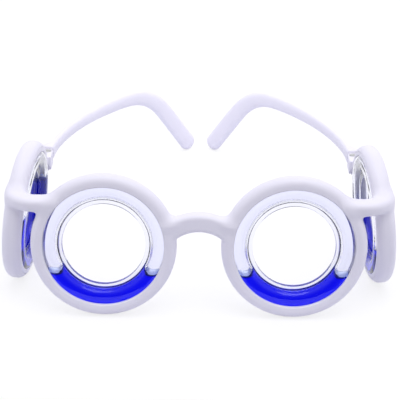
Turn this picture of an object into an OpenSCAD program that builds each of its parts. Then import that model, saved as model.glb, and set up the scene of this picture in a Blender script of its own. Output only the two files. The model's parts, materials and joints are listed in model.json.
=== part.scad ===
// Motion sickness glasses: a white frame with two rings before the eyes and two beside them.
// Each ring holds a clear, hollow capsule, part filled with blue liquid, round an open centre.
// Millimetres. X runs across the face, Y from the front to the ear hooks, Z up.
// The origin is on the table, under the middle of the outline. "left" is the -X side.

/* [Capsules] */
// Diameter of the opening that the eye looks through
opening_d = 30.6; // [28:0.2:33]
// Width of the flat flange between the opening and the clear tube
inner_flange = 1.8; // [1.2:0.1:3]
// Width of the clear tube across the ring
tube_w = 6.9; // [6.2:0.1:8]
// Depth of the clear tube from front to back
tube_depth = 6.6; // [6.2:0.1:8]
// Rounding of the clear tube's corners
tube_round = 2.7; // [2.2:0.1:3]
// Wall of the clear tube
tube_wall = 0.9; // [0.6:0.1:1.2]
// Width of the outer flange that the frame holds
outer_flange = 0.8; // [0.6:0.1:1.2]
// Thickness of the flange on one half of a capsule
flange_t = 1; // [0.8:0.1:1.2]
// Diameter of the plug in a capsule's filling hole
plug_d = 1; // [0.8:0.1:1.2]
// Distance from the flange to the filling hole
plug_wall = 0.35; // [0.3:0.05:0.5]

/* [Liquid] */
// Height of the liquid's surface above the ring's centre, in the two front rings
front_level = -12; // [-16:0.5:12]
// Height of the liquid's surface above the ring's centre, in the left side ring
left_side_level = 4; // [-16:0.5:12]
// Height of the liquid's surface above the ring's centre, in the right side ring
right_side_level = -6; // [-16:0.5:12]

/* [Rings] */
// Wall of the frame outside a capsule's outer flange
ring_wall = 2; // [1.6:0.1:3.4]
// Depth of a ring from its front to its back
ring_depth = 7.2; // [6.8:0.1:9]
// How far the middle of a ring's frame lies outside the middle of its capsule
ring_forward = 0.9; // [0.6:0.1:1.2]
// Rounding of a ring's outer corners
ring_round = 3.1; // [2:0.1:3.2]
// How far the frame's lip reaches over the clear tube
lip_over = 1.7; // [1:0.1:2.2]
// Rounding of the lip's edge
lip_round = 0.6; // [0.3:0.1:0.8]
// Lean of the front rings towards the head at the top, in degrees
front_lean = 9.5; // [0:0.5:14]
// Lean of the side rings towards the head at the top, in degrees
side_lean = 5.5; // [0:0.5:14]

/* [Layout] */
// Distance between the centres of the two front rings
eye_spacing = 70; // [66:1:80]
// Outward turn of a front ring, in degrees
front_wrap = 0.5; // [0:0.5:5]
// Distance between the centres of the two side rings
side_spacing = 133.6; // [131:0.2:150]
// Distance from the front rings' centres back to the side rings' centres
side_back = 28; // [27:0.5:36]
// Toe-in of a side ring, in degrees
side_toe = 4.6; // [0:0.1:7]

/* [Bridge] */
// Height of the bridge's middle above the rings' centres
bridge_rise = 9.1; // [6:0.1:14]
// Radius of the bridge's arch
bridge_radius = 17; // [15:0.1:30]
// Height of the bridge's bar
bridge_h = 6.7; // [5:0.1:9]
// Depth of the bridge's bar from front to back
bridge_depth = 6.8; // [5:0.1:7]
// Rounding of the bridge's bar
bridge_round = 1.7; // [1:0.1:2.4]

/* [Corners] */
// Height of the corner pieces above the rings' centres
corner_rise = 15.3; // [12:0.1:18]
// Radius of a corner piece's turn from the front to the side
corner_radius = 8; // [6:0.1:10]
// Width of a corner piece's bar from outside to inside
corner_w = 7.4; // [6:0.1:9]
// Height of a corner piece's bar
corner_h = 5.2; // [4.9:0.1:8]
// Rounding of a corner piece's bar
corner_round = 2.2; // [1:0.1:2.4]

/* [Hinges] */
// Distance between the two hinge pins
hinge_spacing = 125; // [120:0.5:128]
// Distance of a hinge pin behind the side ring's centre
hinge_back = 29.6; // [29.2:0.1:33]
// Height of a hinge's middle above the rings' centres
hinge_rise = 9.6; // [7:0.1:12]
// Diameter of a hinge knuckle
knuckle_d = 4.4; // [4:0.1:6]
// Height of the temple's knuckle in the middle of the hinge
knuckle_h = 2.2; // [2:0.1:3.4]
// Height of each of the frame's two knuckles
leaf_h = 1.5; // [1.3:0.1:3]
// Gap between neighbouring knuckles
knuckle_gap = 0.15; // [0.1:0.05:0.4]
// Diameter of a hinge pin
pin_d = 1.6; // [1.2:0.1:2]
// Running clearance round a hinge pin, on the radius
pin_play = 0.05; // [0.02:0.01:0.09]
// Gap between a temple's heel and the stop on the frame
stop_gap = 0.3; // [0.3:0.05:0.6]
// Thickness of the stop outside a hinge
stop_w = 1.5; // [1:0.1:2.5]

/* [Temples] */
// Length of the temple from the hinge pin to the ear bend
temple_reach = 71; // [60:1:80]
// Inward turn of the temple over that length, in degrees
temple_turn = 34; // [20:0.5:40]
// Inward aim of the temple at the hinge, in degrees
temple_toe = 3.8; // [-4:0.1:5]
// Length of the ear bend
bend_len = 38.5; // [25:0.5:45]
// Inward turn of the ear bend, in degrees
bend_turn = 9.5; // [0:0.5:14]
// Slope of the hook behind the ear bend, in degrees
hook_drop = 52.5; // [30:0.5:60]
// Length of the hook behind the ear bend
hook_len = 24; // [16:0.5:26]
// Thickness of the temple at the hinge
temple_t = 3.2; // [2.6:0.1:4]
// Height of the temple at the hinge
temple_h = 5; // [4:0.1:6.4]
// Thickness of the hook
hook_t = 5.2; // [4:0.1:6]
// Height of the hook
hook_h = 8; // [6:0.1:9]

/* [Fits] */
// Clearance round a capsule in its seat
seat_gap = 0.1; // [0.05:0.01:0.15]
// Clearance between the liquid and the clear tube
liquid_gap = 0.1; // [0.05:0.01:0.2]
// Clearance round a plug or a pin where it is pressed in
press_gap = 0.02; // [0.01:0.01:0.04]
// Clearance round the head of a hinge pin
head_gap = 0.1; // [0.05:0.05:0.2]

/* [Hidden] */
$fn = 96;

// Radii of a capsule and of the ring round it, from the opening outwards
opening_r = opening_d / 2;
tube_in = opening_r + inner_flange;
tube_out = tube_in + tube_w;
capsule_r = tube_out + outer_flange;
seat_r = capsule_r + seat_gap;
ring_r = seat_r + ring_wall;
lip_r = tube_out - lip_over;
ring_face = ring_depth / 2 + ring_forward;
ring_back = ring_forward - ring_depth / 2;
tube_half = tube_depth / 2;

// How far a leaning ring reaches down and forward from its centre
round_r = ring_r - ring_round;
face_out = cos(front_lean) * cos(front_wrap);
ring_front = round_r * sqrt(1 - face_out * face_out) + (ring_face - ring_round) * face_out + ring_round;
function ring_drop(lean) = round_r * cos(lean) - (ring_back + ring_round) * sin(lean) + ring_round;

// One temple, seen from its hinge pin: X inwards, Y back, Z up
temple_len = temple_reach + bend_len + hook_len;
temple_start = knuckle_d / 2 + stop_gap;
heel_y = temple_start + stop_w + stop_gap;
temple_steps = 54;
section_sides = 20;
section_power = 0.85;
cap_steps = 6;

// How far a bar or a tongue runs into what it joins
bite = 1;

function smooth(t) = let (c = min(1, max(0, t))) c * c * (3 - 2 * c);
function part_way(s, from, length) = min(length, max(0, s - from));
function heading(s) = temple_toe + temple_turn * part_way(s, 0, temple_reach) / temple_reach
    + bend_turn * part_way(s, temple_reach, bend_len) / bend_len;
function slope(s) = hook_drop * smooth((s - temple_reach) / bend_len);
function along(s) = [sin(heading(s)) * cos(slope(s)), cos(heading(s)) * cos(slope(s)), -sin(slope(s))];
function mix(a, b, t) = a + (b - a) * t;
function widen(s) = smooth((s - temple_reach / 4) / (temple_len - temple_reach / 2));

step_len = temple_len / temple_steps;
temple_line = [
    for (i = 0, p = [0, 0, 0]; i <= temple_steps; p = p + step_len * along((i + 0.5) * step_len), i = i + 1) p
];
function point_at(s) = let (
        n = min(temple_steps - 1, floor(s / step_len)),
        t = s / step_len - n
    ) mix(temple_line[n], temple_line[n + 1], t);

// Stations along the temple: even ones, then closer ones round the tip
cap_len = hook_h / 2;
stations = [
    each [for (i = [0 : temple_steps - 4]) mix(temple_start, temple_len - cap_len, i / (temple_steps - 4))],
    each [for (i = [1 : cap_steps]) temple_len - cap_len * (1 - sin(88 * i / cap_steps))],
];
function cap_scale(s) = let (c = max(0, (s - temple_len + cap_len) / cap_len)) sqrt(max(0, 1 - c * c));
function power(v) = sign(v) * pow(abs(v), section_power);
function section(s) = let (
        forward = along(s),
        across = [cos(heading(s)), -sin(heading(s)), 0],
        upright = cross(across, forward),
        t = cap_scale(s) * mix(temple_t, hook_t, widen(s)) / 2,
        h = cap_scale(s) * mix(temple_h, hook_h, widen(s)) / 2
    ) [for (k = [0 : section_sides - 1]) let (a = 360 * k / section_sides)
        point_at(s) + t * power(cos(a)) * across + h * power(sin(a)) * upright];
temple_points = [for (s = stations) each section(s)];
last_ring = len(stations) - 1;
temple_faces = [
    for (i = [0 : last_ring - 1], k = [0 : section_sides - 1]) let (
        a = i * section_sides + k,
        b = i * section_sides + (k + 1) % section_sides
    ) each [[a, b, b + section_sides], [a, b + section_sides, a + section_sides]],
    [for (k = [section_sides - 1 : -1 : 0]) k],
    [for (k = [0 : section_sides - 1]) last_ring * section_sides + k],
];

// Places in the whole object's frame
hinge_reach = side_back + hinge_back;
temple_back = hinge_reach + max([for (p = temple_points) p.y]);
front_y = -(temple_back - ring_front) / 2;
eye_z = ring_drop(front_lean);
side_z = ring_drop(side_lean);
hinge_x = hinge_spacing / 2;
hinge_y = front_y + hinge_reach;
hinge_z = side_z + hinge_rise;
hinge_h = knuckle_h + 2 * knuckle_gap + 2 * leaf_h;
plug_z = -(flange_t + plug_d / 2 + plug_wall);

// The middle of a side ring's rim at a height above its centre: its reach along the ring, and its X
function rim_reach(rise) = sqrt(pow(ring_r, 2) - pow(rise / cos(side_lean), 2));
function rim_x(rise, reach) = side_spacing / 2 - rise * tan(side_lean) + ring_forward / cos(side_lean)
    + reach * sin(side_toe);
side_rear = rim_reach(hinge_rise);
rear_x = rim_x(hinge_rise, -side_rear);
corner_z = eye_z + corner_rise;
corner_x = rim_x(corner_z - side_z, rim_reach(corner_z - side_z));
corner_y = front_y + corner_rise * tan(front_lean) - ring_forward / cos(front_lean);

white = [0.93, 0.92, 0.96];
trim_white = [0.88, 0.87, 0.93];
clear = [0.8, 0.84, 0.97, 0.45];
blue = [0.02, 0.03, 0.86];
steel = [0.75, 0.76, 0.78];

// A box from corner to corner with round corners
module soft_box(lo, hi, r) {
    for (x = [lo.x + r, hi.x - r], y = [lo.y + r, hi.y - r])
        translate([x, y]) circle(r);
    translate([lo.x + r, lo.y]) square([hi.x - lo.x - 2 * r, hi.y - lo.y]);
    translate([lo.x, lo.y + r]) square([hi.x - lo.x, hi.y - lo.y - 2 * r]);
}

// The clear tube's outline in section, grown or shrunk all round
module tube_section(grow) {
    soft_box(
        [tube_in - grow, -tube_half - grow],
        [tube_out + grow, tube_half + grow],
        tube_round + grow
    );
}

// The whole ring in section, from the lip outwards
module rim_section() {
    difference() {
        soft_box([lip_r - 2 * ring_round, ring_back], [ring_r, ring_face], ring_round);
        lip_section();
    }
}

// The room for a capsule, which is put in from the wearer's side
module seat_section() {
    tube_section(seat_gap);
    translate([0, -ring_depth]) square([seat_r, ring_depth + flange_t + seat_gap]);
}

// The clear way through a ring, inside its lip, with a rounded edge at the front
module lip_section() {
    translate([0, -ring_depth]) square([lip_r, 2 * ring_depth]);
    difference() {
        translate([lip_r - lip_round, ring_face - lip_round]) square(2 * lip_round);
        translate([lip_r + lip_round, ring_face - lip_round]) circle(lip_round);
    }
}

module spin() {
    rotate_extrude() children();
}

// Puts a ring's own frame in its place: its Z axis points away from the wearer
module front_ring(side) {
    translate([side * eye_spacing / 2, front_y, eye_z])
        rotate([90 - front_lean, 0, side * front_wrap]) children();
}

module side_ring(side) {
    translate([side * side_spacing / 2, front_y + side_back, side_z])
        rotate([90 - side_lean, 0, side * (90 + side_toe)]) children();
}

module on_side(side) {
    if (side < 0) mirror([1, 0, 0]) children();
    else children();
}

module seat() {
    spin() {
        seat_section();
        lip_section();
    }
}

module bar_section(w, h, r) {
    soft_box([-w / 2, -h / 2], [w / 2, h / 2], r);
}

// The arched bar over the nose, in the plane of the front rings
module bridge() {
    end_angle = asin((eye_spacing / 2 - seat_r * cos(asin(bridge_rise / 2 / seat_r)) + bite) / bridge_radius);
    translate([0, front_y, eye_z])
        rotate([90 - front_lean, 0, 0])
            translate([0, bridge_rise - bridge_radius, ring_forward])
                rotate([0, 0, 90 - end_angle])
                    rotate_extrude(angle = 2 * end_angle)
                        translate([bridge_radius, 0]) bar_section(bridge_h, bridge_depth, bridge_round);
}

// The frame of the right corner's turn, at a heading
module at_turn(start) {
    translate([corner_x - corner_radius, corner_y + corner_radius, corner_z]) rotate([0, 0, start]) children();
}

module corner_section() {
    translate([corner_radius, 0]) bar_section(corner_w, corner_h, corner_round);
}

module corner_turn() {
    rotate_extrude(angle = 45) corner_section();
}

// The front half of the right corner's turn, with the straight piece from the front ring
module front_corner() {
    straight = corner_x - corner_radius - eye_spacing / 2 - lip_r * cos(asin(corner_rise / lip_r));
    at_turn(-90) {
        corner_turn();
        rotate([90, 0, 0]) linear_extrude(straight) corner_section();
    }
}

module front_frame() {
    color(white) difference() {
        union() {
            for (side = [-1, 1]) {
                front_ring(side) spin() rim_section();
                on_side(side) front_corner();
            }
            bridge();
        }
        for (side = [-1, 1]) front_ring(side) seat();
    }
}

// The right hinge's own frame: its Z axis is the pin, X points away from the head
module at_hinge() {
    translate([hinge_x, hinge_y, hinge_z]) children();
}

// The block behind a side ring, with the stop outside the hinge and two knuckles
module hinge_lug() {
    lug_reach = hinge_back - side_rear * cos(side_toe) + ring_wall;
    stop_in = knuckle_d / 2 + stop_gap;
    block_out = max(stop_in + stop_w, rear_x - hinge_x);
    at_hinge() {
        translate([-knuckle_d / 2, -lug_reach, -hinge_h / 2])
            cube([knuckle_d / 2 + block_out, lug_reach - temple_start, hinge_h]);
        translate([stop_in, -lug_reach, -hinge_h / 2]) cube([stop_w, lug_reach + heel_y - stop_gap, hinge_h]);
        for (z = [-hinge_h / 2, hinge_h / 2 - leaf_h]) translate([0, 0, z]) {
            cylinder(d = knuckle_d, h = leaf_h);
            translate([-knuckle_d / 2, -lug_reach, 0]) cube([knuckle_d, lug_reach, leaf_h]);
        }
    }
}

module pin_room() {
    at_hinge() {
        translate([0, 0, -hinge_h]) cylinder(d = pin_d + 2 * press_gap, h = 2 * hinge_h);
        translate([0, 0, hinge_h / 2 - pin_d / 2]) cylinder(d = 2 * (pin_d + head_gap), h = pin_d);
    }
}

module side_frame(side) {
    color(white) difference() {
        union() {
            side_ring(side) spin() rim_section();
            on_side(side) {
                at_turn(-45) corner_turn();
                hinge_lug();
            }
        }
        side_ring(side) seat();
        on_side(side) pin_room();
    }
}

// The white ring that holds a capsule in, with a notch for the plug
module retaining_ring() {
    color(trim_white) difference() {
        spin() difference() {
            intersection() {
                rim_section();
                translate([0, -ring_depth])
                    square([seat_r - seat_gap, ring_depth - flange_t - seat_gap / 2]);
            }
            tube_section(seat_gap);
        }
        filling_hole(plug_d + 2 * seat_gap);
    }
}

// The radial filling hole at the top of a capsule's inner half
module filling_hole(d) {
    translate([0, tube_out - tube_w / 2, plug_z])
        rotate([-90, 0, 0]) cylinder(d = d, h = tube_w / 2 + 2 * outer_flange);
}

module half_section() {
    difference() {
        union() {
            tube_section(0);
            translate([opening_r, -flange_t]) square([capsule_r - opening_r, 2 * flange_t]);
        }
        tube_section(-tube_wall);
        translate([0, -ring_depth]) square([2 * capsule_r, ring_depth]);
    }
}

module capsule_outer() {
    color(clear) spin() half_section();
}

module capsule_inner() {
    color(clear) difference() {
        mirror([0, 0, 1]) spin() half_section();
        filling_hole(plug_d);
    }
}

module fill_plug() {
    color(clear) translate([0, tube_out - tube_wall + liquid_gap, plug_z])
        rotate([-90, 0, 0]) cylinder(d = plug_d - 2 * press_gap, h = tube_wall + outer_flange / 2);
}

module liquid_ring() {
    spin() tube_section(-tube_wall - liquid_gap);
}

// Everything below a level surface, which stays level however the ring leans
module below(height) {
    size = 4 * ring_r;
    translate([-size * 2, -size * 2, height - size]) cube([size * 4, size * 4, size]);
}

module front_liquid(side) {
    color(blue) intersection() {
        front_ring(side) liquid_ring();
        below(eye_z + front_level);
    }
}

module side_liquid(side, level) {
    color(blue) intersection() {
        side_ring(side) liquid_ring();
        below(side_z + level);
    }
}

// A temple with its middle knuckle and the heel that meets the stop
module temple(side) {
    heel_out = knuckle_d / 2 + stop_gap + stop_w;
    heel_h = hinge_h;
    color(white) on_side(side) at_hinge() difference() {
        union() {
            mirror([1, 0, 0]) polyhedron(temple_points, temple_faces, convexity = 6);
            translate([0, 0, -knuckle_h / 2]) {
                cylinder(d = knuckle_d, h = knuckle_h);
                translate([-temple_t / 2, 0, 0]) cube([temple_t, heel_y + bite, knuckle_h]);
            }
            translate([0, 0, -heel_h / 2]) linear_extrude(heel_h) polygon([
                [-temple_t / 2, heel_y], [heel_out, heel_y], [heel_out, heel_y + stop_w],
                [temple_t / 2, heel_y + 4 * stop_w], [-temple_t / 2, heel_y + 4 * stop_w],
            ]);
        }
        translate([0, 0, -knuckle_h]) cylinder(r = pin_d / 2 + pin_play, h = 2 * knuckle_h);
    }
}

// The hinge pin, with a slotted head at the top
module hinge_pin(side) {
    head = pin_d / 2;
    color(steel) on_side(side) at_hinge() difference() {
        union() {
            translate([0, 0, -hinge_h / 2]) cylinder(d = pin_d, h = hinge_h - head);
            translate([0, 0, hinge_h / 2 - head]) cylinder(d = 2 * pin_d, h = head);
        }
        translate([-pin_d, -pin_d / 8, hinge_h / 2 - head / 2]) cube([2 * pin_d, pin_d / 4, head]);
    }
}

front_frame();
side_frame(-1);  // left_side_frame
side_frame(1);  // right_side_frame
front_ring(-1) retaining_ring();  // left_front_retaining_ring
front_ring(1) retaining_ring();  // right_front_retaining_ring
side_ring(-1) retaining_ring();  // left_side_retaining_ring
side_ring(1) retaining_ring();  // right_side_retaining_ring
front_ring(-1) capsule_outer();  // left_front_capsule_outer
front_ring(1) capsule_outer();  // right_front_capsule_outer
side_ring(-1) capsule_outer();  // left_side_capsule_outer
side_ring(1) capsule_outer();  // right_side_capsule_outer
front_ring(-1) capsule_inner();  // left_front_capsule_inner
front_ring(1) capsule_inner();  // right_front_capsule_inner
side_ring(-1) capsule_inner();  // left_side_capsule_inner
side_ring(1) capsule_inner();  // right_side_capsule_inner
front_ring(-1) fill_plug();  // left_front_fill_plug
front_ring(1) fill_plug();  // right_front_fill_plug
side_ring(-1) fill_plug();  // left_side_fill_plug
side_ring(1) fill_plug();  // right_side_fill_plug
front_liquid(-1);  // left_front_liquid
front_liquid(1);  // right_front_liquid
side_liquid(-1, left_side_level);  // left_side_liquid
side_liquid(1, right_side_level);  // right_side_liquid
temple(-1);  // left_temple
temple(1);  // right_temple
hinge_pin(-1);  // left_hinge_pin
hinge_pin(1);  // right_hinge_pin
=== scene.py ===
import json
import math

import bmesh
import bpy
import numpy as np
import openvdb
from mathutils import Matrix, Vector


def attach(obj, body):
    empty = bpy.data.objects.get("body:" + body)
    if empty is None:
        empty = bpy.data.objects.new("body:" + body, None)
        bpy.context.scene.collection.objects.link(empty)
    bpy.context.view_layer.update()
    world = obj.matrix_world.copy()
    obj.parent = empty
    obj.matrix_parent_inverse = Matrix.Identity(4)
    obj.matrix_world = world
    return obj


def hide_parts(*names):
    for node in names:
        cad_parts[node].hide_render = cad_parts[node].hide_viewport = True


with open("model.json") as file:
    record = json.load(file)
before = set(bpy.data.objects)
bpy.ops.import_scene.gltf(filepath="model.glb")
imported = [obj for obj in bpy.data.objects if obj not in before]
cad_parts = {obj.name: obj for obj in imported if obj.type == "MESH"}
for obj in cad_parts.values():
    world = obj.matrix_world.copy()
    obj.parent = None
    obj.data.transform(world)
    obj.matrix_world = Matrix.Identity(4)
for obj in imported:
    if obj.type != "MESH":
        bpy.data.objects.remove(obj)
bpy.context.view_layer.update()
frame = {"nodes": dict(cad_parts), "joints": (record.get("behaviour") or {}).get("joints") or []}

MM = 0.001
# Size of the cells in which a solid is meshed, and steps round a turned piece
CELL = 0.4
LATHE_STEPS = 192

# Rings and capsules
OPENING_R = 15.3
TUBE_IN = 17.1
TUBE_OUT = 24.0
TUBE_HALF = 3.3
TUBE_ROUND = 2.7
TUBE_WALL = 0.9
FLANGE_T = 1.0
FLANGE_EDGE = 0.15
OPENING_ROUND = 0.3
CAPSULE_R = 24.8
SEAT_GAP = 0.1
SEAT_R = CAPSULE_R + SEAT_GAP
RING_WALL = 2.0
RING_R = SEAT_R + RING_WALL
RING_HALF = 3.6
RING_FORWARD = 0.9
RING_FACE = RING_HALF + RING_FORWARD
RING_ROUND = 3.1
LIP_R = 22.3
LIP_ROUND = 0.6
FRONT_LEAN = math.radians(9.5)
SIDE_LEAN = math.radians(5.5)
SIDE_TOE = math.radians(4.6)

# Bridge and corners
BRIDGE_RISE = 9.1
BRIDGE_RADIUS = 17.0
BRIDGE_H = 6.7
BRIDGE_DEPTH = 6.8
BRIDGE_ROUND = 1.7
BRIDGE_FOOT = -1.0
BRIDGE_FILLETS = (0.8, 4.0)
BRIDGE_FILLET_START = 5.0
CORNER_RISE = 15.3
CORNER_RADIUS = 8.0
CORNER_W = 7.4
CORNER_H = 5.2
CORNER_ROUND = 2.2
CORNER_FILLET = 2.5
# Half the height of the room in which the mouldings are meshed
FRAME_ROOM = 28.0

# Hinges
KNUCKLE_R = 2.2
KNUCKLE_H = 2.2
LEAF_H = 1.5
KNUCKLE_GAP = 0.15
HINGE_H = KNUCKLE_H + 2 * KNUCKLE_GAP + 2 * LEAF_H
PIN_R = 0.8
HEAD_R = 2 * PIN_R
PRESS_GAP = 0.02
PIN_PLAY = 0.05
HEAD_GAP = 0.1
HINGE_EDGE = 0.5
KNUCKLE_EDGE = 0.25
HINGE_FILLET = 1.5
TONGUE_FILLET = 0.6
STOP_GAP = 0.3
STOP_W = 1.5
TEMPLE_START = KNUCKLE_R + STOP_GAP
HEEL_START = TEMPLE_START + STOP_W + STOP_GAP
STOP_IN = KNUCKLE_R + STOP_GAP
HEEL_OUT = STOP_IN + STOP_W

# Temples
REACH = 71.0
BEND = 38.5
HOOK = 24.0
TEMPLE_LEN = REACH + BEND + HOOK
TOE = 3.8
REACH_TURN = 34.0
BEND_TURN = 9.5
DROP = 52.5
THIN = (3.2, 5.0)
THICK = (5.2, 8.0)
HEEL_FLAT = 1.2
HEEL_BLEND = 7.5
# The heel's bevel, the length over which it runs out, and how far it has run where it starts
HEEL_BEVEL = 0.7
BEVEL_LEN = 0.5
BEVEL_START = 0.35
BEVEL_STEPS = (0, 0.12, 0.3, 0.6)
# Powers of the section's outline: an oval arm, which grows out of a square heel
ARM_POWER = 0.85
HEEL_POWER = 0.35
# Steps along the temple in millimetres, and round its end in degrees
STATION = 1.2
PATH_STEP = 0.4
END_STEP = 8

# Liquid levels above the rings' centres, and how far the liquid climbs the walls
LEVELS = {"left_front": -12.0, "right_front": -12.0, "left_side": 4.0, "right_side": -6.0}
MENISCUS = 1.9
MENISCUS_WIDTH = 0.8
INNER_CLIMB = 2.2
OUTER_CLIMB = 0.9
LIQUID_BITE = 0.04
# How far a leaning ring's tube reaches to either side of its centre
LEAN_REACH = 8.0
# How close to the tube's wall a place counts as wet, and how far the painted sheen and painted shade
# of the surface reach
WET_NEAR = 0.3
WALL_FADE = 0.4
SURFACE_SKIN = 0.1
EDGE_SHADE_DEPTH = 1.3
EDGE_NEAR = 0.5
EDGE_BACK = -0.2

# Studio: how far the table goes behind and to the sides, and in front, and how brightly it glows
TABLE_REACH = 3000
TABLE_FRONT = 60
TABLE_GLOW = 0.75

JOINTS = {joint["name"]: joint for joint in frame["joints"]}


def unit(v):
    """A vector with the same direction and a length of one."""
    v = np.asarray(v, float)
    return v / np.linalg.norm(v)


class Ring:
    """A ring's own frame: u runs across it, v up it, and w out of it, away from the wearer."""

    def __init__(self, name):
        joint = JOINTS[f"{name}_liquid_swing"]
        self.name = name
        self.centre = np.array(joint["pos_m"]) / MM
        self.w = unit(joint["axis"])
        self.u = unit(np.cross((0, 0, 1), self.w))
        self.v = np.cross(self.w, self.u)

    def local(self, x, y, z):
        """Places in the part's frame, as seen in the ring's own."""
        x, y, z = (p - c for p, c in zip((x, y, z), self.centre))
        return tuple(x * d[0] + y * d[1] + z * d[2] for d in (self.u, self.v, self.w))

    def matrix(self):
        """Puts a mesh that is made round its own Z axis, in metres, into the ring's place."""
        turn = Matrix((self.u, self.v, self.w)).transposed().to_4x4()
        return Matrix.Translation(Vector(self.centre) * MM) @ turn


RINGS = {name: Ring(name) for name in LEVELS}
EYE_Z = RINGS["right_front"].centre[2]
FRONT_Y = RINGS["right_front"].centre[1]
SIDE_X, SIDE_Y, SIDE_Z = RINGS["right_side"].centre
HINGE = np.array(JOINTS["right_temple_fold"]["pos_m"]) / MM


def rim_reach(rise):
    """How far a side ring reaches along itself at a height above its centre."""
    return math.sqrt(RING_R**2 - (rise / math.cos(SIDE_LEAN)) ** 2)


CORNER_Z = EYE_Z + CORNER_RISE
CORNER_Y = FRONT_Y + CORNER_RISE * math.tan(FRONT_LEAN) - RING_FORWARD / math.cos(FRONT_LEAN)
SIDE_RISE = CORNER_Z - SIDE_Z
CORNER_X = (
    SIDE_X - SIDE_RISE * math.tan(SIDE_LEAN) + RING_FORWARD / math.cos(SIDE_LEAN)
    + rim_reach(SIDE_RISE) * math.sin(SIDE_TOE)
)


# Solids as distance fields, which join with fillets

def rounded(p, q, half_p, half_q, radius):
    """Distance to a rectangle with round corners."""
    p = np.abs(p) - (half_p - radius)
    q = np.abs(q) - (half_q - radius)
    return np.hypot(np.maximum(p, 0), np.maximum(q, 0)) + np.minimum(np.maximum(p, q), 0) - radius


def rounded_box(p, low, high, radius):
    """Distance to a box with round edges and corners."""
    q = [np.abs(c - (a + b) / 2) - ((b - a) / 2 - radius) for c, a, b in zip(p, low, high)]
    outside = np.sqrt(sum(np.maximum(c, 0) ** 2 for c in q))
    return outside + np.minimum(np.maximum(np.maximum(q[0], q[1]), q[2]), 0) - radius


def fuse(a, b, fillet):
    """Joins two solids with a fillet between them."""
    near = np.maximum(fillet - np.abs(a - b), 0) / fillet
    return np.minimum(a, b) - near * near * fillet / 4


def ring_disc(ring, x, y, z):
    """A ring of the frame, still full where its opening and seat come."""
    u, v, w = ring.local(x, y, z)
    return rounded(np.hypot(u, v), w - RING_FORWARD, RING_R, RING_HALF, RING_ROUND)


def bridge(x, y, z):
    """The arched bar over the nose, in the front rings' leaning plane."""
    back, up = y - FRONT_Y, z - EYE_Z
    v = up * math.cos(FRONT_LEAN) + back * math.sin(FRONT_LEAN)
    w = up * math.sin(FRONT_LEAN) - back * math.cos(FRONT_LEAN) - RING_FORWARD
    across = np.hypot(x, v - (BRIDGE_RISE - BRIDGE_RADIUS)) - BRIDGE_RADIUS
    bar = rounded(across, w, BRIDGE_H / 2, BRIDGE_DEPTH / 2, BRIDGE_ROUND)
    return np.maximum(bar, BRIDGE_FOOT - v)


def corner(x, y, z):
    """The bar that turns from a front ring to the side ring, on the right."""
    px = x - (CORNER_X - CORNER_RADIUS)
    py = y - (CORNER_Y + CORNER_RADIUS)
    across = np.hypot(np.maximum(px, 0), np.maximum(-py, 0)) - CORNER_RADIUS
    bar = rounded(across, z - CORNER_Z, CORNER_W / 2, CORNER_H / 2, CORNER_ROUND)
    return np.maximum(np.maximum(bar, -px - CORNER_RADIUS), py - CORNER_RADIUS / 2)


def front_field(x, y, z):
    """Both front rings, the bridge and the corners, still uncut."""
    x = np.abs(x)
    rings = ring_disc(RINGS["right_front"], x, y, z)
    bridge_fillet = np.clip(z - EYE_Z - BRIDGE_FILLET_START, *BRIDGE_FILLETS)
    return fuse(fuse(rings, bridge(x, y, z), bridge_fillet), corner(x, y, z), CORNER_FILLET)


def hinge_block(x, y, z):
    """The block behind the right side ring, with its stop and two knuckles."""
    p = (x - HINGE[0], y - HINGE[1], z - HINGE[2])
    reach = SIDE_Y + rim_reach(HINGE[2] - SIDE_Z) * math.cos(SIDE_TOE) - RING_WALL - HINGE[1]
    half = HINGE_H / 2
    block = rounded_box(p, (-KNUCKLE_R, reach, -half), (HEEL_OUT, -TEMPLE_START, half), HINGE_EDGE)
    stop_end = TEMPLE_START + STOP_W
    stop = rounded_box(p, (STOP_IN, reach, -half), (HEEL_OUT, stop_end, half), HINGE_EDGE)
    solid = np.minimum(block, stop)
    for low in (-half, half - LEAF_H):
        middle = low + LEAF_H / 2
        knuckle = rounded(np.hypot(p[0], p[1]), p[2] - middle, KNUCKLE_R, LEAF_H / 2, KNUCKLE_EDGE)
        leaf = rounded_box(p, (-KNUCKLE_R, reach, low), (KNUCKLE_R, 0, low + LEAF_H), KNUCKLE_EDGE)
        solid = np.minimum(solid, np.minimum(knuckle, leaf))
    return solid


def side_field(x, y, z):
    """The right side ring with its corner and hinge block, still uncut."""
    ring = fuse(ring_disc(RINGS["right_side"], x, y, z), corner(x, y, z), CORNER_FILLET)
    return fuse(ring, hinge_block(x, y, z), HINGE_FILLET)


def liquid_tube(ring, x, y, z):
    """The inside of a capsule's tube, a hair larger, so that no air shows round the liquid."""
    u, v, w = ring.local(x, y, z)
    middle = (TUBE_IN + TUBE_OUT) / 2
    half = (TUBE_OUT - TUBE_IN) / 2 - TUBE_WALL + LIQUID_BITE
    depth = TUBE_HALF - TUBE_WALL + LIQUID_BITE
    return rounded(np.hypot(u, v) - middle, w, half, depth, TUBE_ROUND - TUBE_WALL)


def over_surface(name, tube, x, y, z):
    """Height above the liquid's surface, which climbs the walls, most of all towards the opening."""
    ring = RINGS[name]
    u, v, _ = ring.local(x, y, z)
    radius = np.hypot(u, v)
    climb = (
        MENISCUS * np.exp(np.minimum(tube, 0) / MENISCUS_WIDTH)
        + INNER_CLIMB * np.exp(np.minimum(TUBE_IN + TUBE_WALL - radius, 0))
        + OUTER_CLIMB * np.exp(np.minimum(radius - TUBE_OUT + TUBE_WALL, 0))
    )
    return z - ring.centre[2] - LEVELS[name] - climb


def liquid_field(name):
    def field(x, y, z):
        tube = liquid_tube(RINGS[name], x, y, z)
        return np.maximum(tube, over_surface(name, tube, x, y, z))

    return field


# Meshes

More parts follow.
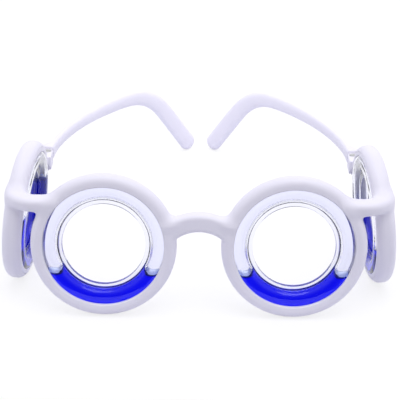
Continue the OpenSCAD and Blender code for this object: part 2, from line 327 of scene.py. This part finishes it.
def new_piece(name, points, faces, smooth=True):
    """Adds a mesh, which is given in millimetres, to the scene."""
    mesh = bpy.data.meshes.new(name)
    vertices = [tuple(p) for p in np.asarray(points) * MM]
    mesh.from_pydata(vertices, [], [tuple(map(int, face)) for face in faces])
    mesh.validate()
    mesh.polygons.foreach_set("use_smooth", [smooth] * len(mesh.polygons))
    mesh.update()
    piece = bpy.data.objects.new(name, mesh)
    bpy.context.scene.collection.objects.link(piece)
    return piece


def gradient(field, points, step=0.02):
    """The direction and rate in which a field grows, at each point."""
    slopes = []
    for axis in range(3):
        shift = np.zeros(3)
        shift[axis] = step
        slopes.append(field(*(points + shift).T) - field(*(points - shift).T))
    return np.array(slopes).T / (2 * step)


def mould(name, field, low, high, cell=CELL):
    """Meshes a field's zero surface in quads, and draws each vertex onto the true surface."""
    band = 3 * cell
    low, high = np.asarray(low, float) - band, np.asarray(high, float) + band
    axes = [np.arange(a, b, cell) for a, b in zip(low, high)]
    x, y, z = np.meshgrid(*axes, indexing="ij", sparse=True)
    values = field(x, y, z).astype(np.float32)
    grid = openvdb.FloatGrid(float(band))
    grid.copyFromArray(np.clip(values, -band, band))
    points, quads = grid.convertToQuads()
    points = points.astype(float) * cell + low
    for _ in range(4):
        slope = gradient(field, points)
        length = np.maximum((slope**2).sum(1), 0.05)
        points -= np.clip(field(*points.T) / length, -cell / 2, cell / 2)[:, None] * slope
    return new_piece(name, points, quads)


def places(piece):
    """X, Y and Z of all a piece's vertices, in millimetres."""
    points = np.zeros(3 * len(piece.data.vertices))
    piece.data.vertices.foreach_get("co", points)
    return points.reshape(-1, 3).T / MM


def store(piece, key, values):
    """Keeps a value for each vertex, for the materials to read."""
    kept = piece.data.attributes.new(key, "FLOAT", "POINT")
    kept.data.foreach_set("value", np.asarray(values, np.float32))


def mirrored(piece, name):
    """A mirror image of a piece, across the middle of the glasses."""
    mesh = piece.data.copy()
    mesh.transform(Matrix.Scale(-1, 4, (1, 0, 0)))
    mesh.flip_normals()
    twin = bpy.data.objects.new(name, mesh)
    bpy.context.scene.collection.objects.link(twin)
    return twin


def arc(centre, radius, start, end, steps=8):
    """Points on an arc in a section, from one angle to another, in degrees."""
    angles = np.radians(np.linspace(start, end, steps + 1))
    return [(centre[0] + radius * math.cos(a), centre[1] + radius * math.sin(a)) for a in angles]


def lathe(name, loops, matrix, steps=LATHE_STEPS):
    """Turns closed sections, given as lists of radius and height, round their own Z axis."""
    points, faces = [], []
    for loop in loops:
        first, count = len(points), len(loop)
        for step in range(steps):
            a = 2 * math.pi * step / steps
            points += [(r * math.cos(a), r * math.sin(a), h) for r, h in loop]
        for step in range(steps):
            here, there = first + step * count, first + (step + 1) % steps * count
            for k in range(count):
                n = (k + 1) % count
                faces.append((here + k, there + k, there + n, here + n))
    piece = new_piece(name, points, faces)
    piece.data.transform(matrix)
    return piece


def sharpen(piece, angle=35):
    """Marks the edges that are sharper than an angle, and leaves the rest smooth."""
    piece.data.set_sharp_from_angle(angle=math.radians(angle))
    return piece


def combine(piece, other, operation):
    """Cuts or joins another solid, which is used up, and keeps the result in the mesh."""
    step = piece.modifiers.new("combine", "BOOLEAN")
    step.operation = operation
    step.solver = "MANIFOLD"
    step.object = other
    depsgraph = bpy.context.evaluated_depsgraph_get()
    mesh = bpy.data.meshes.new_from_object(piece.evaluated_get(depsgraph), depsgraph=depsgraph)
    piece.modifiers.clear()
    piece.data = mesh
    bpy.data.objects.remove(other)
    mesh.polygons.foreach_set("use_smooth", [True] * len(mesh.polygons))
    return piece


def halve(piece, point, normal):
    """Keeps what lies behind a plane, and closes the cut."""
    mesh = bmesh.new()
    mesh.from_mesh(piece.data)
    bmesh.ops.bisect_plane(
        mesh, geom=mesh.verts[:] + mesh.edges[:] + mesh.faces[:], dist=1e-7,
        plane_co=Vector(point) * MM, plane_no=Vector(normal), clear_outer=True,
    )
    rim = [edge for edge in mesh.edges if edge.is_boundary]
    bmesh.ops.holes_fill(mesh, edges=rim)
    bmesh.ops.recalc_face_normals(mesh, faces=mesh.faces[:])
    mesh.to_mesh(piece.data)
    mesh.free()
    return piece


def largest_part(piece):
    """Drops the specks that meshing and cutting leave beside a piece."""
    mesh = bmesh.new()
    mesh.from_mesh(piece.data)
    left = set(mesh.verts)
    largest = set()
    while left:
        part = set()
        reached = [left.pop()]
        while reached:
            vertex = reached.pop()
            part.add(vertex)
            near = {edge.other_vert(vertex) for edge in vertex.link_edges} & left
            left -= near
            reached += near
        if len(part) > len(largest):
            largest = part
    bmesh.ops.delete(mesh, geom=[v for v in mesh.verts if v not in largest], context="VERTS")
    mesh.to_mesh(piece.data)
    mesh.free()
    return piece


def seat_cutter(ring):
    """The room for a capsule and its retaining ring, with the lip's opening in front.

    Its section stops just short of the axis, so that no faces shrink to nothing there.
    """
    corner_r = TUBE_ROUND + SEAT_GAP
    tube_edge = (TUBE_OUT - TUBE_ROUND, TUBE_HALF - TUBE_ROUND)
    lip_angle = math.degrees(math.acos((LIP_R - tube_edge[0]) / corner_r))
    flange_angle = math.degrees(math.asin((FLANGE_T + SEAT_GAP - tube_edge[1]) / corner_r))
    far = 2 * RING_HALF
    loop = [(0.01, -far), (SEAT_R, -far), (SEAT_R, FLANGE_T + SEAT_GAP)]
    loop += arc(tube_edge, corner_r, flange_angle, lip_angle, 8)
    mouth = (LIP_R + LIP_ROUND, RING_FACE - LIP_ROUND)
    loop += arc(mouth, LIP_ROUND, 180, 105, 5)
    loop += [(mouth[0] + 0.1, far), (0.01, far)]
    return lathe(f"{ring.name}_seat", [loop], ring.matrix())


def cut_seats(piece, names):
    """Cuts the rooms for the capsules of the named rings."""
    for name in names:
        combine(piece, seat_cutter(RINGS[name]), "DIFFERENCE")
    return piece


def rod(radius, low, high, place, steps=48):
    """A plain round cutter along Z, whose section too stops just short of its axis."""
    loop = [(0.001, low), (radius, low), (radius, high), (0.001, high)]
    return lathe("rod", [loop], Matrix.Translation(Vector(place) * MM), steps)


def front_moulding():
    """The front rings and the bridge, cut off at the corners' seams."""
    low = (-70, FRONT_Y - 9, EYE_Z - FRAME_ROOM)
    high = (70, CORNER_Y + CORNER_RADIUS + 4, EYE_Z + FRAME_ROOM)
    piece = mould("front_moulding", front_field, low, high)
    for side in (-1, 1):
        halve(piece, (side * (CORNER_X + CORNER_Y), 0, 0), (side, 1, 0))
    return sharpen(largest_part(cut_seats(piece, ("left_front", "right_front"))))


def corner_cutter():
    """What lies in front of the right corner's seam, no taller than the corner and its fillets."""
    half, far = CORNER_H / 2 + CORNER_FILLET + 0.5, 20
    outline = [(far, -far), (-far, far), (-2 * far, 0), (0, -2 * far)]
    points = [(CORNER_X + x, CORNER_Y + y, CORNER_Z + z) for z in (-half, half) for x, y in outline]
    faces = [(3, 2, 1, 0), (4, 5, 6, 7)] + [(k, (k + 1) % 4, (k + 1) % 4 + 4, k + 4) for k in range(4)]
    return new_piece("corner_cutter", points, faces, smooth=False)


def side_moulding():
    """The right side's ring, its half of the corner, and the hinge block with the pin's bores."""
    low = (50, SIDE_Y - 36, EYE_Z - FRAME_ROOM)
    high = (78, HINGE[1] + 6, EYE_Z + FRAME_ROOM)
    piece = mould("right_side_moulding", side_field, low, high)
    combine(piece, corner_cutter(), "DIFFERENCE")
    cut_seats(piece, ("right_side",))
    half = HINGE_H / 2
    combine(piece, rod(PIN_R + PRESS_GAP, -HINGE_H, HINGE_H, HINGE), "DIFFERENCE")
    combine(piece, rod(HEAD_R + HEAD_GAP, half - PIN_R, HINGE_H, HINGE), "DIFFERENCE")
    return sharpen(largest_part(piece))


def path(arc_length):
    """A place along the temple, and the directions there."""
    steps = max(2, int(arc_length / PATH_STEP))
    ds = arc_length / steps
    place = np.zeros(3)
    for i in range(steps):
        place += ds * directions((i + 0.5) * ds)[1]
    return place, directions(arc_length)


def directions(s):
    """Across, forward and up at a distance along the temple, which turns inwards and then down."""
    bend = min(BEND, max(0, s - REACH)) / BEND
    head = math.radians(TOE + REACH_TURN * min(s, REACH) / REACH + BEND_TURN * bend)
    pitch = math.radians(DROP) * ease(bend)
    level = np.array([math.sin(head), math.cos(head), 0])
    across = np.array([math.cos(head), -math.sin(head), 0])
    forward = level * math.cos(pitch) - np.array([0, 0, math.sin(pitch)])
    return across, forward, np.cross(across, forward)


def ease(t):
    """Goes from zero to one without a kink at either end."""
    t = min(1, max(0, t))
    return t * t * (3 - 2 * t)


def temple_section(s, sides=40):
    """The temple's outline at a distance from its pin. It grows out of a square heel."""
    grown = ease((s - REACH / 4) / (TEMPLE_LEN - REACH / 2))
    thick, high = (a + (b - a) * grown for a, b in zip(THIN, THICK))
    heel = 1 - ease((s - HEEL_START - HEEL_FLAT) / HEEL_BLEND)
    edge = ease((s - HEEL_START) / BEVEL_LEN + BEVEL_START)
    inner, outer = thick / 2, thick / 2 + (HEEL_OUT - THIN[0] / 2) * heel
    high = high + (HINGE_H - THIN[1]) * heel
    bevel = HEEL_BEVEL * (1 - edge)
    cap = math.sqrt(max(0.0, 1 - max(0, 1 - (TEMPLE_LEN - s) / (THICK[1] / 2)) ** 2))
    half_w, half_h = cap * ((inner + outer) / 2 - bevel), cap * (high / 2 - bevel)
    offset = (inner - outer) / 2
    power = ARM_POWER - (ARM_POWER - HEEL_POWER) * heel
    place, (across, forward, up) = path(s)
    points = []
    for k in range(sides):
        a = 2 * math.pi * k / sides
        c, d = math.cos(a), math.sin(a)
        w = math.copysign(abs(c) ** power, c) * half_w + offset
        h = math.copysign(abs(d) ** power, d) * half_h
        points.append(place + w * across + h * up)
    return points


def temple_arm():
    """The right temple: a swept arm, with a knuckle on a short tongue in front of it."""
    cap = THICK[1] / 2
    stations = [HEEL_START + t for t in BEVEL_STEPS]
    stations += list(np.arange(HEEL_START + STATION, TEMPLE_LEN - cap, STATION))
    for angle in range(0, 90, END_STEP):
        stations.append(TEMPLE_LEN - cap * (1 - math.sin(math.radians(angle))))
    rings = [temple_section(s) for s in stations]
    sides = len(rings[0])
    points = [p for ring in rings for p in ring]
    faces = []
    for i in range(len(rings) - 1):
        for k in range(sides):
            n = (k + 1) % sides
            here = i * sides
            faces.append((here + k, here + n, here + n + sides, here + k + sides))
    faces.append(tuple(reversed(range(sides))))
    faces.append(tuple(range((len(rings) - 1) * sides, len(rings) * sides)))
    points = [(HINGE[0] - p[0], HINGE[1] + p[1], HINGE[2] + p[2]) for p in points]
    arm = new_piece("right_temple_arm", points, faces)

    def knuckle_field(x, y, z):
        p = (x - HINGE[0], y - HINGE[1], z - HINGE[2])
        half = KNUCKLE_H / 2
        knuckle = rounded(np.hypot(p[0], p[1]), p[2], KNUCKLE_R, half, KNUCKLE_EDGE)
        wide = THIN[0] / 2
        tongue = rounded_box(p, (-wide, 0, -half), (wide, HEEL_START + 1, half), KNUCKLE_EDGE)
        return fuse(knuckle, tongue, TONGUE_FILLET)

    low, high = HINGE - (3, 3, 2), HINGE + (3, HEEL_START + 2, 2)
    knuckle = mould("knuckle", knuckle_field, low, high, CELL / 2)
    combine(arm, knuckle, "UNION")
    combine(arm, rod(PIN_R + PIN_PLAY, -HINGE_H, HINGE_H, HINGE), "DIFFERENCE")
    return sharpen(largest_part(arm))


def tube_loop(grow, flange=None):
    """The clear tube's section, grown all round, with flat flanges where they are asked for."""
    r = TUBE_ROUND + grow
    low, high = TUBE_IN - grow, TUBE_OUT + grow
    half = TUBE_HALF + grow
    if flange is None:
        east, west, north, south = high - r, low + r, half - r, r - half
        corners = ((east, north), (west, north), (west, south), (east, south))
        turns = zip(corners, (0, 90, 180, 270))
        return [p for centre, start in turns for p in arc(centre, r, start, start + 90, 10)]
    start = math.degrees(math.asin(max(-1, (flange - half + r) / r))) + 6
    upper = [(CAPSULE_R - FLANGE_EDGE, flange), (TUBE_OUT + 0.1, flange)]
    upper += arc((high - r, half - r), r, start, 90, 12)
    upper += arc((low + r, half - r), r, 90, 180 - start, 12)
    upper += [(TUBE_IN - 0.25, flange + 0.05), (TUBE_IN - 0.5, flange)]
    mouth = (OPENING_R + OPENING_ROUND, flange - OPENING_ROUND)
    upper += arc(mouth, OPENING_ROUND, 90, 180, 4)
    lower = [(rho, -h) for rho, h in reversed(upper)]
    return upper + lower + [(CAPSULE_R, FLANGE_EDGE - flange), (CAPSULE_R, flange - FLANGE_EDGE)]


def capsule(name):
    """A clear hollow ring, welded from two halves, with flat flanges inside and outside."""
    outside = tube_loop(0, FLANGE_T)
    cavity = tube_loop(-TUBE_WALL)[::-1]
    piece = lathe(f"{name}_capsule", [outside, cavity], RINGS[name].matrix())
    points = places(piece)
    tube = liquid_tube(RINGS[name], *points)
    store(piece, "wet", (tube < WET_NEAR) & (over_surface(name, tube, *points) < 0))
    return sharpen(piece, 40)


def liquid(name):
    """The liquid at rest, with values on its mesh that tell where its surface is."""
    ring = RINGS[name]
    low, high = ring.centre - TUBE_OUT, ring.centre + TUBE_OUT
    through = 1 if name.endswith("front") else 0
    low[through] = ring.centre[through] - LEAN_REACH
    high[through] = ring.centre[through] + LEAN_REACH
    high[2] = ring.centre[2] + LEVELS[name] + MENISCUS + INNER_CLIMB
    piece = largest_part(mould(f"{name}_blue_liquid", liquid_field(name), low, high, CELL * 0.75))
    points = places(piece)
    tube = liquid_tube(ring, *points)
    forward = ring.local(*points)[2] / (TUBE_HALF - TUBE_WALL)
    depth = np.maximum(-over_surface(name, tube, *points), 0)
    # Where the open surface is, and how far forward: the painted sheen's colour runs from pale at the
    # back to blue in front
    store(piece, "open_surface", np.clip(-tube / WALL_FADE, 0, 1) * (depth < SURFACE_SKIN))
    store(piece, "surface_front", np.clip(0.5 + forward / 2, 0, 1))
    # Painted shade: a weight that darkens the liquid just under its surface, at the front wall
    front_wall = (tube > -EDGE_NEAR) * (forward > EDGE_BACK)
    store(piece, "painted_edge_shade", np.exp(-((depth / EDGE_SHADE_DEPTH) ** 4)) * front_wall)
    return sharpen(piece, 50)


# Materials

def node_tree(name):
    """A new material, with its nodes and its main shader."""
    material = bpy.data.materials.new(name)
    material.use_nodes = True
    tree = material.node_tree
    return material, tree, tree.nodes["Principled BSDF"]


def ray_kind(tree, *names):
    """One for rays of the named kinds, and zero for all others."""
    rays = tree.nodes.new("ShaderNodeLightPath")
    total = rays.outputs[names[0]]
    for name in names[1:]:
        add = tree.nodes.new("ShaderNodeMath")
        add.operation = "MAXIMUM"
        tree.links.new(total, add.inputs[0])
        tree.links.new(rays.outputs[name], add.inputs[1])
        total = add.outputs["Value"]
    return total


def colour_mix(tree, factor, a, b):
    """Mixes two colours, either of which may be another node's output."""
    mix = tree.nodes.new("ShaderNodeMix")
    mix.data_type = "RGBA"
    tree.links.new(factor, mix.inputs["Factor"])
    for socket, value in (("A", a), ("B", b)):
        if isinstance(value, tuple):
            mix.inputs[socket].default_value = value
        else:
            tree.links.new(value, mix.inputs[socket])
    return mix.outputs["Result"]


def moulded_surface():
    """Shared by the plastics: soft mottling in colour and gloss, and a fine moulded grain."""
    group = bpy.data.node_groups.new("moulded_surface", "ShaderNodeTree")
    sockets = group.interface
    colour = sockets.new_socket("Colour", in_out="INPUT", socket_type="NodeSocketColor")
    sockets.new_socket("Shade", in_out="INPUT", socket_type="NodeSocketColor")
    for name, value in (("Roughness", 0.4), ("Mottle Scale", 90.0), ("Grain Scale", 3500.0)):
        sockets.new_socket(name, in_out="INPUT", socket_type="NodeSocketFloat").default_value = value
    colour.default_value = (1, 1, 1, 1)
    sockets.new_socket("Colour", in_out="OUTPUT", socket_type="NodeSocketColor")
    sockets.new_socket("Roughness", in_out="OUTPUT", socket_type="NodeSocketFloat")
    sockets.new_socket("Height", in_out="OUTPUT", socket_type="NodeSocketFloat")
    nodes, links = group.nodes, group.links
    inputs, outputs = nodes.new("NodeGroupInput"), nodes.new("NodeGroupOutput")
    place = nodes.new("ShaderNodeTexCoord")
    mottle, grain = nodes.new("ShaderNodeTexNoise"), nodes.new("ShaderNodeTexNoise")
    for noise, socket, detail in ((mottle, "Mottle Scale", 3.0), (grain, "Grain Scale", 2.0)):
        links.new(place.outputs["Object"], noise.inputs["Vector"])
        links.new(inputs.outputs[socket], noise.inputs["Scale"])
        noise.inputs["Detail"].default_value = detail
    mixed = colour_mix(group, mottle.outputs["Fac"], *(inputs.outputs[n] for n in ("Colour", "Shade")))
    links.new(mixed, outputs.inputs["Colour"])
    spread = nodes.new("ShaderNodeMath")
    spread.operation = "MULTIPLY_ADD"
    links.new(mottle.outputs["Fac"], spread.inputs[0])
    spread.inputs[1].default_value = 0.12
    links.new(inputs.outputs["Roughness"], spread.inputs[2])
    links.new(spread.outputs["Value"], outputs.inputs["Roughness"])
    links.new(grain.outputs["Fac"], outputs.inputs["Height"])
    return group


def grained(tree, shader, group, strength, distance, **values):
    """Feeds a shader from the shared surface, with its own values."""
    surface = tree.nodes.new("ShaderNodeGroup")
    surface.node_tree = group
    for name, value in values.items():
        surface.inputs[name.replace("_", " ")].default_value = value
    bump = tree.nodes.new("ShaderNodeBump")
    bump.inputs["Strength"].default_value = strength
    bump.inputs["Distance"].default_value = distance
    tree.links.new(surface.outputs["Colour"], shader.inputs["Base Color"])
    tree.links.new(surface.outputs["Roughness"], shader.inputs["Roughness"])
    tree.links.new(surface.outputs["Height"], bump.inputs["Height"])
    tree.links.new(bump.outputs["Normal"], shader.inputs["Normal"])


def white_plastic(group):
    material, tree, shader = node_tree("satin_white_plastic")
    grained(
        tree, shader, group, 0.12, 0.00004,
        Colour=(0.865, 0.845, 0.9, 1), Shade=(0.835, 0.815, 0.88, 1), Roughness=0.36,
    )
    shader.inputs["Specular IOR Level"].default_value = 0.45
    return material


def mesh_value(tree, key, scale=1.0):
    """A value stored on the mesh, times a scale."""
    stored = tree.nodes.new("ShaderNodeAttribute")
    stored.attribute_name = key
    scaled = tree.nodes.new("ShaderNodeMath")
    scaled.operation = "MULTIPLY"
    scaled.inputs[1].default_value = scale
    tree.links.new(stored.outputs["Fac"], scaled.inputs[0])
    return scaled.outputs["Value"]


def lets_light_through(tree, surface, tint):
    """Lamps shine through the piece, as they do through thin clear plastic."""
    rays = tree.nodes.new("ShaderNodeLightPath")
    passing = tree.nodes.new("ShaderNodeBsdfTransparent")
    passing.inputs["Color"].default_value = tint
    mix = tree.nodes.new("ShaderNodeMixShader")
    tree.links.new(rays.outputs["Is Shadow Ray"], mix.inputs["Fac"])
    tree.links.new(surface, mix.inputs[1])
    tree.links.new(passing.outputs["BSDF"], mix.inputs[2])
    tree.links.new(mix.outputs["Shader"], tree.nodes["Material Output"].inputs["Surface"])


def clear_plastic():
    """Clear plastic, whose inner wall can't be made out where the liquid wets it."""
    material, tree, shader = node_tree("clear_plastic")
    shader.inputs["Base Color"].default_value = (0.91, 0.915, 1.0, 1)
    shader.inputs["Roughness"].default_value = 0.03
    shader.inputs["IOR"].default_value = 1.45
    shader.inputs["Transmission Weight"].default_value = 1.0
    unseen = tree.nodes.new("ShaderNodeBsdfTransparent")
    wall = tree.nodes.new("ShaderNodeMixShader")
    tree.links.new(mesh_value(tree, "wet"), wall.inputs["Fac"])
    tree.links.new(shader.outputs["BSDF"], wall.inputs[1])
    tree.links.new(unseen.outputs["BSDF"], wall.inputs[2])
    lets_light_through(tree, wall.outputs["Shader"], (0.93, 0.94, 1.0, 1))
    return material


def blue_liquid():
    """Water with a blue dye, which deepens with the length of the way through it.

    Its open surface has a glossy sheen that reflects the studio, in a painted colour, pale at the back
    and blue in front, and a painted shade darkens the liquid just under that surface at the front
    wall.
    """
    material, tree, shader = node_tree("blue_liquid")
    shader.inputs["Roughness"].default_value = 0.02
    shader.inputs["IOR"].default_value = 1.04
    shader.inputs["Transmission Weight"].default_value = 1.0
    # Painted shade: the base colour turns dark navy just under the surface at the front wall
    edge = mesh_value(tree, "painted_edge_shade")
    body = colour_mix(tree, edge, (1, 1, 1, 1), (0.02, 0.04, 0.25, 1))
    tree.links.new(body, shader.inputs["Base Color"])
    # A glossy sheen that reflects the studio, in a painted colour: pale at the back and blue in front
    shine = tree.nodes.new("ShaderNodeBsdfGlossy")
    front = mesh_value(tree, "surface_front")
    painted_sheen_colour = colour_mix(tree, front, (0.85, 0.94, 1, 1), (0.03, 0.12, 0.75, 1))
    tree.links.new(painted_sheen_colour, shine.inputs["Color"])
    shine.inputs["Roughness"].default_value = 0.45
    surface = tree.nodes.new("ShaderNodeMixShader")
    tree.links.new(mesh_value(tree, "open_surface", 0.85), surface.inputs["Fac"])
    tree.links.new(shader.outputs["BSDF"], surface.inputs[1])
    tree.links.new(shine.outputs["BSDF"], surface.inputs[2])
    lets_light_through(tree, surface.outputs["Shader"], (0.2, 0.2, 0.95, 1))
    dye = tree.nodes.new("ShaderNodeVolumeAbsorption")
    dye.inputs["Color"].default_value = (0.0, 0.03, 0.975, 1)
    dye.inputs["Density"].default_value = 1300.0
    tree.links.new(dye.outputs["Volume"], tree.nodes["Material Output"].inputs["Volume"])
    return material


def turned_steel(group):
    material, tree, shader = node_tree("turned_steel")
    grained(
        tree, shader, group, 0.1, 0.00002,
        Colour=(0.74, 0.74, 0.76, 1), Shade=(0.62, 0.62, 0.64, 1), Roughness=0.22,
    )
    shader.inputs["Metallic"].default_value = 1.0
    return material


def paint(piece, material):
    """Gives a piece one material, in place of any that it had."""
    piece.data.materials.clear()
    piece.data.materials.append(material)


def place_piece(piece, material, slot, body, *nodes):
    """Gives a finished piece its material; it rides on a body and replaces the named nodes."""
    paint(piece, material)
    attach(piece, body)
    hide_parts(*nodes)


# Studio

def studio_floor():
    """A white table top, which ends a little way in front of the glasses."""
    near, far = FRONT_Y - TABLE_FRONT, TABLE_REACH
    points = [(-far, near, 0), (far, near, 0), (far, far, 0), (-far, far, 0)]
    floor = new_piece("studio_floor", points, [(0, 1, 2, 3)], smooth=False)
    material, tree, shader = node_tree("pale_floor")
    shader.inputs["Roughness"].default_value = 0.9
    shader.inputs["Emission Color"].default_value = (1, 1, 1, 1)
    glow = tree.nodes.new("ShaderNodeMath")
    glow.operation = "MULTIPLY"
    glow.inputs[1].default_value = TABLE_GLOW
    seen = ray_kind(tree, "Is Camera Ray", "Is Glossy Ray", "Is Transmission Ray")
    tree.links.new(seen, glow.inputs[0])
    colour = colour_mix(tree, seen, (0.72, 0.72, 0.8, 1), (0.24, 0.24, 0.24, 1))
    tree.links.new(colour, shader.inputs["Base Color"])
    tree.links.new(glow.outputs["Value"], shader.inputs["Emission Strength"])
    paint(floor, material)


def world_light():
    """A white tent, which is open and darker in front of the glasses."""
    world = bpy.data.worlds.new("studio")
    bpy.context.scene.world = world
    world.use_nodes = True
    tree = world.node_tree
    place = tree.nodes.new("ShaderNodeTexCoord")
    axes = tree.nodes.new("ShaderNodeSeparateXYZ")
    tree.links.new(place.outputs["Generated"], axes.inputs["Vector"])
    depth = tree.nodes.new("ShaderNodeMapRange")
    depth.inputs["From Min"].default_value = -1.0
    depth.inputs["From Max"].default_value = -0.2
    tree.links.new(axes.outputs["Y"], depth.inputs["Value"])
    reflected = ray_kind(tree, "Is Glossy Ray")
    front = colour_mix(tree, reflected, (0.4, 0.4, 0.45, 1), (0.12, 0.12, 0.16, 1))
    behind = colour_mix(tree, reflected, (0.82, 0.82, 0.94, 1), (1, 1, 1, 1))
    tent = colour_mix(tree, depth.outputs["Result"], front, behind)
    seen = ray_kind(tree, "Is Camera Ray", "Is Transmission Ray")
    light = colour_mix(tree, seen, tent, (1, 1, 1, 1))
    tree.links.new(light, tree.nodes["Background"].inputs["Color"])


def hang(lamp, direction):
    """Adds a lamp to the scene, and turns it to shine in a direction."""
    holder = bpy.data.objects.new(lamp.name, lamp)
    holder.rotation_euler = direction.to_track_quat("-Z", "Y").to_euler()
    bpy.context.scene.collection.objects.link(holder)
    return holder


def soft_sun(direction, strength, spread):
    """An even light from one direction, as wide as a large soft box."""
    lamp = bpy.data.lights.new("soft_box", "SUN")
    lamp.energy = strength
    lamp.angle = math.radians(spread)
    hang(lamp, -Vector(direction))


def top_lamp(place, target, power, size, spread):
    """A weak lamp above the temples, which lights their bends and hooked ends from the front."""
    lamp = bpy.data.lights.new("top_lamp", "AREA")
    lamp.energy = power
    lamp.size = size
    lamp.spread = math.radians(spread)
    holder = hang(lamp, Vector(target) - Vector(place))
    holder.location = place
    holder.visible_camera = False


def studio_camera():
    """The photograph's view: 25 degrees above the front, with a slight roll."""
    elevation, roll = math.radians(25), math.radians(0.81)
    distance, lens = 0.4551, 105.05
    target = Vector((0.14, FRONT_Y + 30, EYE_Z + 4.3)) * MM
    back = Vector((0, -math.cos(elevation), math.sin(elevation)))
    right = Vector((math.cos(roll), 0, 0)) + back.cross(Vector((1, 0, 0))) * math.sin(roll)
    up = back.cross(right)
    data = bpy.data.cameras.new("camera")
    data.lens = lens
    data.sensor_width = 36
    camera = bpy.data.objects.new("camera", data)
    axes = Matrix((right, up, back)).transposed().to_4x4()
    camera.matrix_world = Matrix.Translation(target + back * distance) @ axes
    bpy.context.scene.collection.objects.link(camera)
    bpy.context.scene.camera = camera


studio_camera()
studio_floor()
world_light()
soft_sun((0.1, -0.15, 1), 1.12, 50)
top_lamp((0, -0.05, 0.13), (0, 0.045, 0.03), 0.012, 0.1, 60)
bpy.context.scene.view_settings.view_transform = "Standard"

surface = moulded_surface()
white = white_plastic(surface)
clear = clear_plastic()
blue = blue_liquid()
steel = turned_steel(surface)

place_piece(front_moulding(), white, "white_plastic", "frame", "front_frame")
right_side = side_moulding()
left_side = mirrored(right_side, "left_side_moulding")
place_piece(right_side, white, "white_plastic", "frame", "right_side_frame")
place_piece(left_side, white, "white_plastic", "frame", "left_side_frame")

right_arm = temple_arm()
left_arm = mirrored(right_arm, "left_temple_arm")
place_piece(right_arm, white, "white_plastic", "right_temple", "right_temple")
place_piece(left_arm, white, "white_plastic", "left_temple", "left_temple")

for name in RINGS:
    halves = (f"{name}_capsule_outer", f"{name}_capsule_inner", f"{name}_fill_plug")
    place_piece(capsule(name), clear, "clear_plastic", "frame", *halves)
    place_piece(liquid(name), blue, "blue_liquid", f"{name}_liquid", f"{name}_liquid")
    paint(frame["nodes"][f"{name}_retaining_ring"], white)
for side in ("left", "right"):
    paint(frame["nodes"][f"{side}_hinge_pin"], steel)
